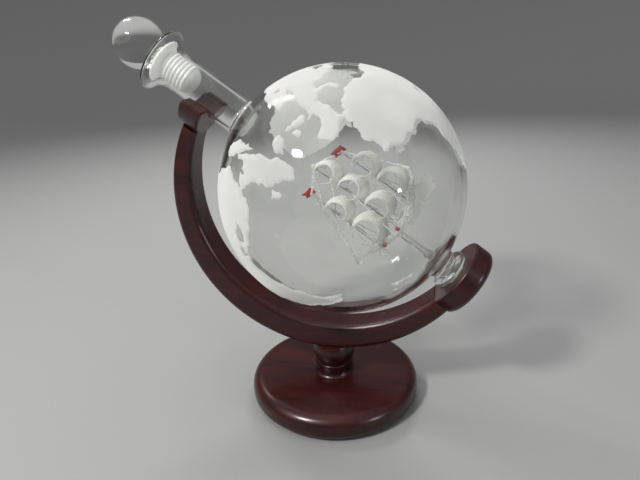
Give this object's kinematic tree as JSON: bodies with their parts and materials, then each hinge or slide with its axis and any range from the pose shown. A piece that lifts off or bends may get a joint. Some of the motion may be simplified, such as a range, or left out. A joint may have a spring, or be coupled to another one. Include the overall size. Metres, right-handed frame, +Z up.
{
  "type": "globe decanter on stand",
  "caption": "Glass globe decanter with a glass ship inside, a ball stopper with a ribbed sleeve, and a C-shaped wooden arm on a round base that holds it by neck and foot.",
  "frame": {"origin": "centre of the base's underside, on the face the object rests on", "axes": "+Z up; X in the plane of the C-shaped arm, with the neck and stopper towards -X and the foot towards +X; Y across the arm"},
  "size_m": [0.2146, 0.14, 0.235],
  "materials": {
    "stained_wood": "dark red-brown stain under satin-gloss lacquer",
    "dowel_wood": "plain birch, glued",
    "felt": "pressed black felt",
    "screw_steel": "zinc plated",
    "clear_glass": "clear blown glass, faint green in thick edges, etched land areas",
    "ship_glass": "clear lampworked glass",
    "sail_glass": "milky thin glass sheet",
    "red_glass": "red lampworked glass",
    "sleeve_plastic": "translucent white soft plastic"
  },
  "bodies": {
    "stand": {"base_disc": "stained_wood", "base_felt_pad": "felt", "base_screw": "screw_steel", "pedestal": "stained_wood", "arm": "stained_wood", "neck_cradle": "stained_wood", "cradle_dowel": "dowel_wood", "foot_cup": "stained_wood", "cup_dowel": "dowel_wood", "cup_felt": "felt"},
    "decanter": {"flask": "clear_glass", "foot_button": "clear_glass", "ship_post": "ship_glass", "ship_hull": "ship_glass", "fore_mast": "ship_glass", "main_mast": "ship_glass", "mizzen_mast": "ship_glass", "bowsprit": "ship_glass", "stern_curl": "ship_glass", "fore_sails": "sail_glass", "main_sails": "sail_glass", "mizzen_sails": "sail_glass", "yards": "ship_glass", "stays": "ship_glass", "pennants": "red_glass", "hull_beads": "red_glass", "anchor_ring": "ship_glass"},
    "stopper": {"stopper_ball": "clear_glass", "stopper_sleeve": "sleeve_plastic"}
  },
  "joints": [
    {"name": "decanter_lift", "type": "slide", "parent": "stand", "child": "decanter", "axis": [0, 0, 1], "range_m": [0, 0.15]},
    {"name": "stopper_pull", "type": "slide", "parent": "decanter", "child": "stopper", "axis": [-0.807, 0, 0.5906], "range_m": [0, 0.05]}
  ]
}
